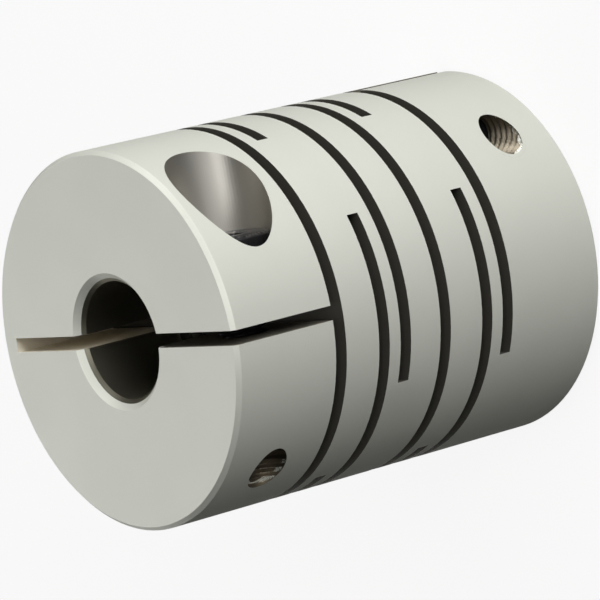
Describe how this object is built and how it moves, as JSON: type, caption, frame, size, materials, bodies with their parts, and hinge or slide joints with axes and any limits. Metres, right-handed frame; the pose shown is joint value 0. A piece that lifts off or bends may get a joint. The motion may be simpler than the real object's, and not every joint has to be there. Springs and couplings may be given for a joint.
{
  "type": "clamp hub slit coupling",
  "caption": "One-piece slit shaft coupling: a slotted aluminium cylinder with a through bore and a split clamp hub with cap screw at each end.",
  "frame": {"origin": "middle of the lower end face, on the shaft axis", "axes": "+Z along the shaft axis, towards the upper hub; -Y is the side the upper clamp slit opens to; +X is the side the lower clamp slit opens to"},
  "size_m": [0.032, 0.032, 0.04],
  "materials": {
    "coupling_body": "fine matt natural anodised aluminium",
    "clamp_screw": "black oxide alloy steel"
  },
  "bodies": {
    "root": {"coupling_body": "coupling_body", "upper_clamp_screw": "clamp_screw", "lower_clamp_screw": "clamp_screw"}
  },
  "joints": []
}
